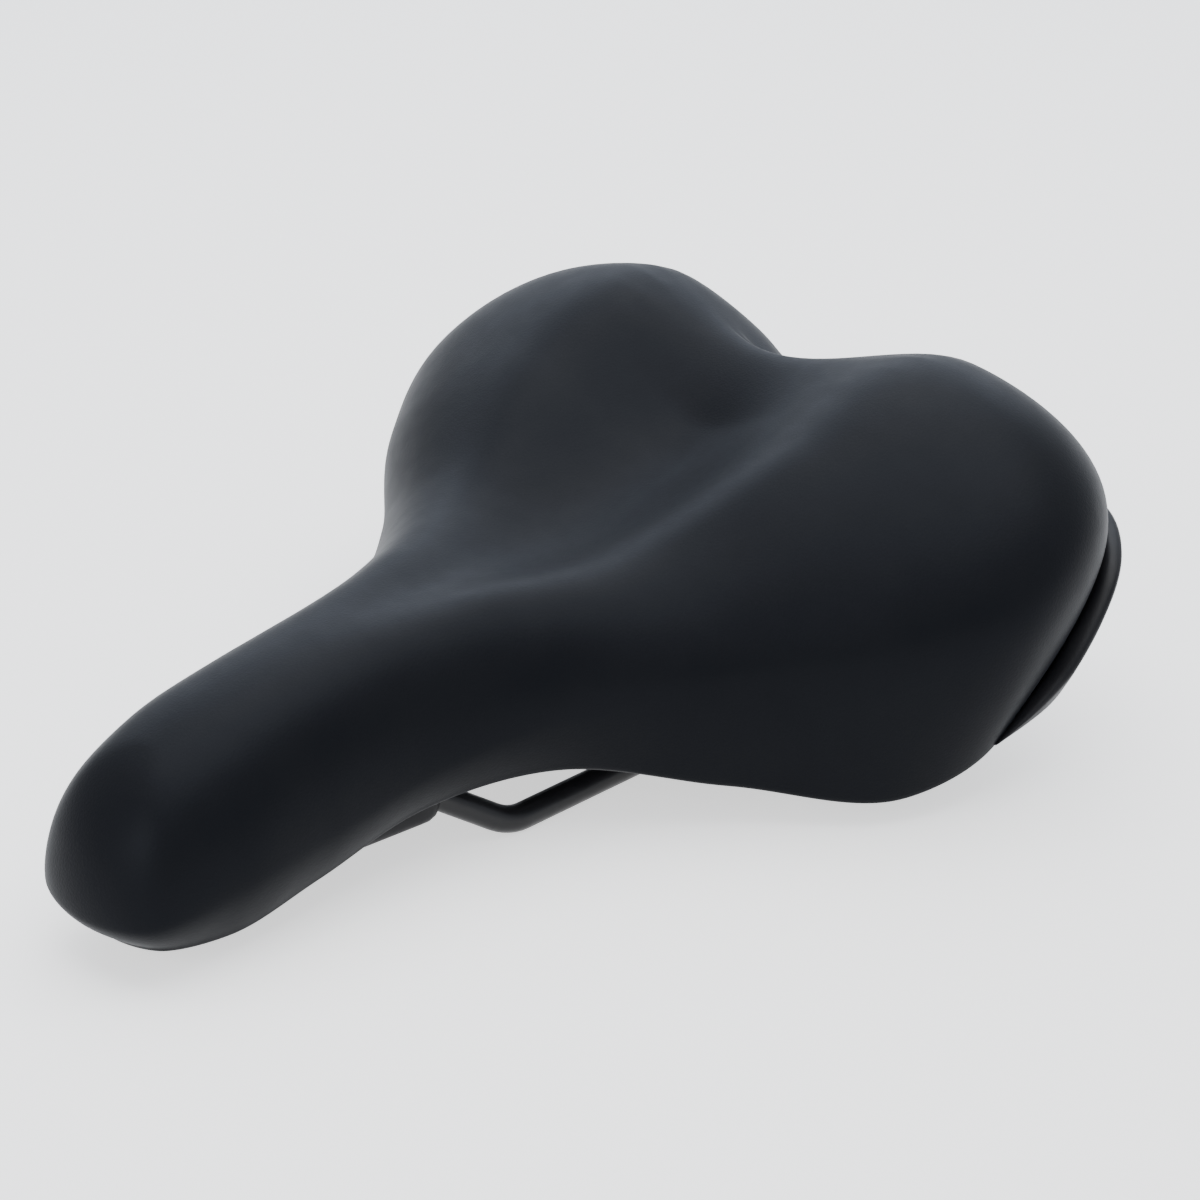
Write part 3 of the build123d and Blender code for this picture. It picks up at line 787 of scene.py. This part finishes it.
# ------------------------------------------------------------------------ nose socket
SOCKET_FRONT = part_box("nose_socket")[0][1] / MM
SOCKET_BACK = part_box("nose_socket")[1][1] / MM
SOCKET_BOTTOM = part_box("nose_socket")[0][2] / MM
SOCKET_HALF = (17.0, 20.8)   # half width at the front and at the back
SOCKET_ENDS = (0.10, 0.14)   # shares of its length over which its front and back round off
SOCKET_PULL = (3.5, 3.6)     # how far its sides and its bottom draw in there
SOCKET_SUNK = 2.5            # how far it reaches into the shell
SOCKET_SQUARE = 7            # exponent of its section, a rounded rectangle
RAIL_ENDS = ((10.0, -89.6, 19.0), (14.0, -56.6, 12.5))       # ends of a rail's stretch in it
RAIL_ROOM = 4.7              # radius of the bores round the rails
END_ROOM = 1.2               # of the bores past the front ends of the rails
MOUTH = 4.0                  # of the bores past the socket's back
HEAD_ROOM = (4.15, 3.0)      # radius and depth of the recesses for the screw heads
HEAD_CUT = 8.0               # height of the form that cuts a recess


def build_socket():
    """Rounded block under the nose that holds the front ends of the rails."""
    build = bmesh.new()
    loops = []
    for share in 0.5 - 0.5 * np.cos(np.linspace(0, np.pi, 19)):
        y = SOCKET_FRONT + (SOCKET_BACK - SOCKET_FRONT) * share
        half = SOCKET_HALF[0] + (SOCKET_HALF[1] - SOCKET_HALF[0]) * share
        end = min(share / SOCKET_ENDS[0], (1 - share) / SOCKET_ENDS[1], 1.0)
        pull = 1 - math.sqrt(max(0.0, 1 - (1 - end) ** 2))
        half -= SOCKET_PULL[0] * pull
        bottom = SOCKET_BOTTOM + SOCKET_PULL[1] * pull
        top = SOCKET_TOP + SOCKET_SUNK
        loop = []
        for turn in np.linspace(0, 2 * np.pi, 64, endpoint=False):
            c, d = math.cos(turn), math.sin(turn)
            across = math.copysign(abs(c) ** (2 / SOCKET_SQUARE), c)
            up = math.copysign(abs(d) ** (2 / SOCKET_SQUARE), d)
            point = (half * across, y, (top + bottom) / 2 + (top - bottom) / 2 * up)
            loop.append(build.verts.new(Vector(point) * MM))
        loops.append(loop)
    join_loops(build, loops)
    build.faces.new(loops[0])
    build.faces.new(loops[-1][::-1])
    bmesh.ops.recalc_face_normals(build, faces=build.faces)
    return finish_mesh(build, "nose_socket_moulding")


def add_cylinder(builder, radius, height, place):
    """Adds an upright cylinder, in millimetres, moved and turned by the matrix."""
    bmesh.ops.create_cone(builder, cap_ends=True, segments=48, radius1=radius * MM,
                          radius2=radius * MM, depth=height * MM, matrix=place)


def socket_bores():
    """The bores for both rails and the recesses for the screw heads, as one cutting form."""
    build = bmesh.new()
    near, far = Vector(RAIL_ENDS[0]), Vector(RAIL_ENDS[1])
    for side in (1, -1):
        start = Vector((side * near.x, near.y, near.z))
        end = Vector((side * far.x, far.y, far.z))
        along = (end - start).normalized()
        start -= along * END_ROOM
        end += along * MOUTH
        turn = along.to_track_quat("Z", "Y").to_matrix().to_4x4()
        place = Matrix.Translation((start + end) / 2 * MM) @ turn
        add_cylinder(build, RAIL_ROOM, (end - start).length, place)
    radius, depth = HEAD_ROOM
    for x, y in SOCKET_SCREWS:
        middle = Vector((x, y, SOCKET_BOTTOM + depth - HEAD_CUT / 2))
        add_cylinder(build, radius, HEAD_CUT, Matrix.Translation(middle * MM))
    return finish_mesh(build, "socket_bores")


socket = build_socket()
cutter = socket_bores()
bores = socket.modifiers.new("bores", "BOOLEAN")
bores.operation = "DIFFERENCE"
bores.object = cutter
bores.solver = "EXACT"
apply_modifiers(socket)
bpy.data.objects.remove(cutter)
smooth_by_angle(socket, degrees=35)
add_piece(socket, BUMPER, "seat", "nylon", "nose_socket")

# ------------------------------------------------------------------------ rear bumper
BUMPER_START = 52.0          # along Y, where it grows out of the cover's lower edge
BUMPER_FULL = 24.0           # along Y, until it stands fully proud
BUMPER_PROUD = 6.2
# Along Y, the place of its upper edge as a share of the skirt's height.
BUMPER_TOP = [(52, 1.0), (60, 0.985), (66, 0.94), (80, 0.66), (95, 0.36), (108, 0.28), (116, 0.24)]
BUMPER_START_SHARE = 0.04    # of its thickness, where it grows out
BUMPER_GROWTH = (1.2, 0.2)   # exponent and early swell of its growth to full thickness
# Its section: share of the way down from its upper edge, how far outside the skirt, and how
# far above it.
BUMPER_SECTION = [
    (0, 0.25, 0), (0, BUMPER_PROUD * 0.45, 0.4), (0, BUMPER_PROUD * 0.80, 0.1),
    (0, BUMPER_PROUD, -1.2), (0.35, BUMPER_PROUD + 0.2, -1.0), (0.7, BUMPER_PROUD, -1.6),
    (1, BUMPER_PROUD - 0.8, -3.2), (1, BUMPER_PROUD - 3.0, -4.8), (1, -1.0, -5.2),
    (1, -8.5, -4.8), (1, -9.3, -3.6), (1, -8.5, -2.5), (1, -0.4, -2.5), (1, 0.4, -1.6),
    (0.5, 0.25, 0),
]
EAR_TIP = (6.4, 6.4, 0.1)    # radius and thickness under a screw boss, and the gap to it
EAR_ROOT = ((86.5, 95.5), 8.5, 32.6, 35.2)       # place, radius, bottom and top in the fold


def build_bumper():
    """Trim round the back: stands proud of the skirt and folds under the shell's rim."""
    x, y, wide, edge, tuck = outline()
    share_at = curve_through(*zip(*BUMPER_TOP))
    behind = np.arange(SAMPLES) > np.argmax(y > BUMPER_START) - 1
    past_widest = np.arange(SAMPLES) > np.argmax(y)
    upper = np.where(past_widest, BUMPER_TOP[-1][1], share_at(y))
    grow = np.clip((y - BUMPER_START) / BUMPER_FULL, 0, 1)
    power, swell = BUMPER_GROWTH
    grow = grow**power * (1 + swell * (1 - grow))
    grow = np.where(past_widest, 1.0, BUMPER_START_SHARE + (1 - BUMPER_START_SHARE) * grow)

    def at(share, out, rise):
        """Line along the skirt at that share, that far outside it and above it."""
        share = upper + (1 - upper) * share
        ring_x, ring_y = edge_offset(x, y, tuck * share**SKIRT - out * grow)
        return np.stack([ring_x, ring_y, wide + (edge - wide) * share + rise * grow], 1)[behind]

    build = bmesh.new()
    lines = []
    for row in BUMPER_SECTION:
        half = at(*row)
        both = np.concatenate([half, half[-2::-1] * (-1, 1, 1)])
        lines.append([build.verts.new(Vector(point) * MM) for point in both])
    count = len(lines[0])
    for k, line in enumerate(lines):
        after_line = lines[(k + 1) % len(lines)]
        for j in range(count - 1):
            build.faces.new((line[j], after_line[j], after_line[j + 1], line[j + 1]))
    build.faces.new([line[0] for line in lines])
    build.faces.new([line[-1] for line in reversed(lines)])
    bmesh.ops.recalc_face_normals(build, faces=build.faces)
    return finish_mesh(build, "bumper_moulding")


def bumper_tabs():
    """Ears that carry the bumper's screws, from its fold in to the shell's bosses."""
    ears = bmesh.new()
    tip_radius, thickness, gap = EAR_TIP
    tip = (BUMPER_SCREW, tip_radius, BUMPER_BOSS_BOTTOM - thickness, BUMPER_BOSS_BOTTOM - gap)
    for side in (1, -1):
        corners = []
        for (x, y), radius, bottom, top in (tip, EAR_ROOT):
            for turn in np.linspace(0, 2 * np.pi, 40, endpoint=False):
                for z, shrink in ((bottom, 0.6), (bottom + 0.6, 0), (top - 0.4, 0), (top, 0.4)):
                    across = radius - shrink
                    point = (side * (x + across * math.cos(turn)), y + across * math.sin(turn), z)
                    corners.append(ears.verts.new(Vector(point) * MM))
        hull = bmesh.ops.convex_hull(ears, input=corners)
        bmesh.ops.delete(ears, geom=hull["geom_interior"], context="VERTS")
    tidy_mesh(ears)
    return ears


bumper = build_bumper()
subdivide(bumper)
apply_modifiers(bumper)
join_into(bumper, bumper_tabs())
smooth_by_angle(bumper, degrees=45)
add_piece(bumper, BUMPER, "seat", "bumper_plastic", "rear_bumper")

# ------------------------------------------------------------------------- elastomers
ELASTOMER_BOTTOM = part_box("elastomer_left")[0][2] / MM
ELASTOMER_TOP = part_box("elastomer_left")[1][2] / MM
ELASTOMER_RADIUS = 11.9
ELASTOMER_BORE = 4.6
BEADS = 3
GROOVE = 1.9                 # depth of the grooves between the beads
BEAD_FULLNESS = 0.6          # the lower, the squarer the beads
RIM_IN = 1.2                 # the flat ends are that much smaller than the beads


def build_elastomer(side):
    """Rubber spring with two grooves between its three rounded beads."""
    bottom, top, bore = ELASTOMER_BOTTOM, ELASTOMER_TOP, ELASTOMER_BORE
    flat = ELASTOMER_RADIUS - RIM_IN
    height = top - bottom
    profile = [(bore, bottom + 0.3), (bore + 0.4, bottom), (flat, bottom)]
    for step in range(BEADS * 10 + 1):
        share = step / (BEADS * 10)
        swell = abs(math.sin(math.pi * BEADS * share)) ** BEAD_FULLNESS
        radius = ELASTOMER_RADIUS - GROOVE * (1 - swell)
        profile.append((radius, bottom + 0.15 + (height - 0.3) * share))
    profile += [(flat, top), (bore + 0.4, top), (bore, top - 0.3)]
    profile.append(profile[0])
    build = bmesh.new()
    revolve(build, profile, side * MOUNT[0], MOUNT[1], 72)
    tidy_mesh(build)
    return finish_mesh(build, "elastomer_spring_" + ("left" if side > 0 else "right"))


for side, name in ((1, "left"), (-1, "right")):
    spring = build_elastomer(side)
    smooth_by_angle(spring, degrees=50)
    add_piece(spring, RUBBER, "rails", "elastomer", "elastomer_" + name)
    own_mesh(spring)

# --------------------------------------------------------------------- the CAD nodes
DRESS = {
    "rail_left": RAIL, "rail_right": RAIL,
    "rear_bridge": BRIDGE, "rail_pins": ZINC, "socket_screws": ZINC, "bumper_screws": ZINC,
    "mount_bolt_left": ZINC, "mount_bolt_right": ZINC, "bolt_washer_left": ZINC,
    "bolt_washer_right": ZINC, "insert_left": BRASS, "insert_right": BRASS,
}
for node_name, material in DRESS.items():
    dress(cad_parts[node_name], material)


# ------------------------------------------------------------------- floor and lights
def build_floor():
    """Square floor at the height of the rails' lowest line."""
    mesh = bpy.data.meshes.new("studio_floor")
    half = 3.0
    level = rail_low[2]
    corners = [(x, y, level) for x, y in ((-half, -half), (half, -half), (half, half), (-half, half))]
    mesh.from_pydata(corners, [], [(0, 1, 2, 3)])
    floor = bpy.data.objects.new("studio_floor", mesh)
    bpy.context.scene.collection.objects.link(floor)
    dress(floor, floor_look())


def soft_light(name, place, aim, size, power, colour=(1, 1, 1)):
    """Rectangular lamp at a place, turned to the aim."""
    lamp = bpy.data.lights.new(name, "AREA")
    lamp.color = colour
    lamp.shape = "RECTANGLE"
    lamp.size, lamp.size_y = size
    lamp.energy = power
    light = bpy.data.objects.new(name, lamp)
    light.location = place
    light.rotation_euler = (Vector(aim) - Vector(place)).to_track_quat("-Z", "Y").to_euler()
    bpy.context.scene.collection.objects.link(light)


AIM = (0.0, 0.0, 0.045)
build_floor()
soft_light("overhead", (0.0, 0.1, 1.1), AIM, (1.4, 1.4), 30)
soft_light("behind_left", (-0.9, 0.85, 0.85), AIM, (1.8, 1.0), 15, (0.75, 0.84, 1.0))
soft_light("front", (0.15, -1.2, 0.6), AIM, (1.0, 0.6), 10)

world = bpy.data.worlds.new("studio_world")
world.use_nodes = True
world.node_tree.nodes["Background"].inputs["Color"].default_value = (0.86, 0.91, 1, 1)
world.node_tree.nodes["Background"].inputs["Strength"].default_value = 1.2
bpy.context.scene.world = world

# ----------------------------------------------------------------------------- camera
AZIMUTH = math.radians(44.2)
ELEVATION = math.radians(24.7)
DISTANCE = 0.8164
TARGET = Vector((0.02674, -0.0100, 0.0528))
LENS = 100.08                # focal length and sensor width, in millimetres
SENSOR = 36

camera_data = bpy.data.cameras.new("camera")
camera_data.lens = LENS
camera_data.sensor_width = SENSOR
camera = bpy.data.objects.new("camera", camera_data)
toward_camera = Vector((
    math.sin(AZIMUTH) * math.cos(ELEVATION),
    -math.cos(AZIMUTH) * math.cos(ELEVATION),
    math.sin(ELEVATION),
))
camera.location = TARGET + toward_camera * DISTANCE
camera.rotation_euler = (-toward_camera).to_track_quat("-Z", "Y").to_euler()
bpy.context.scene.collection.objects.link(camera)
bpy.context.scene.camera = camera
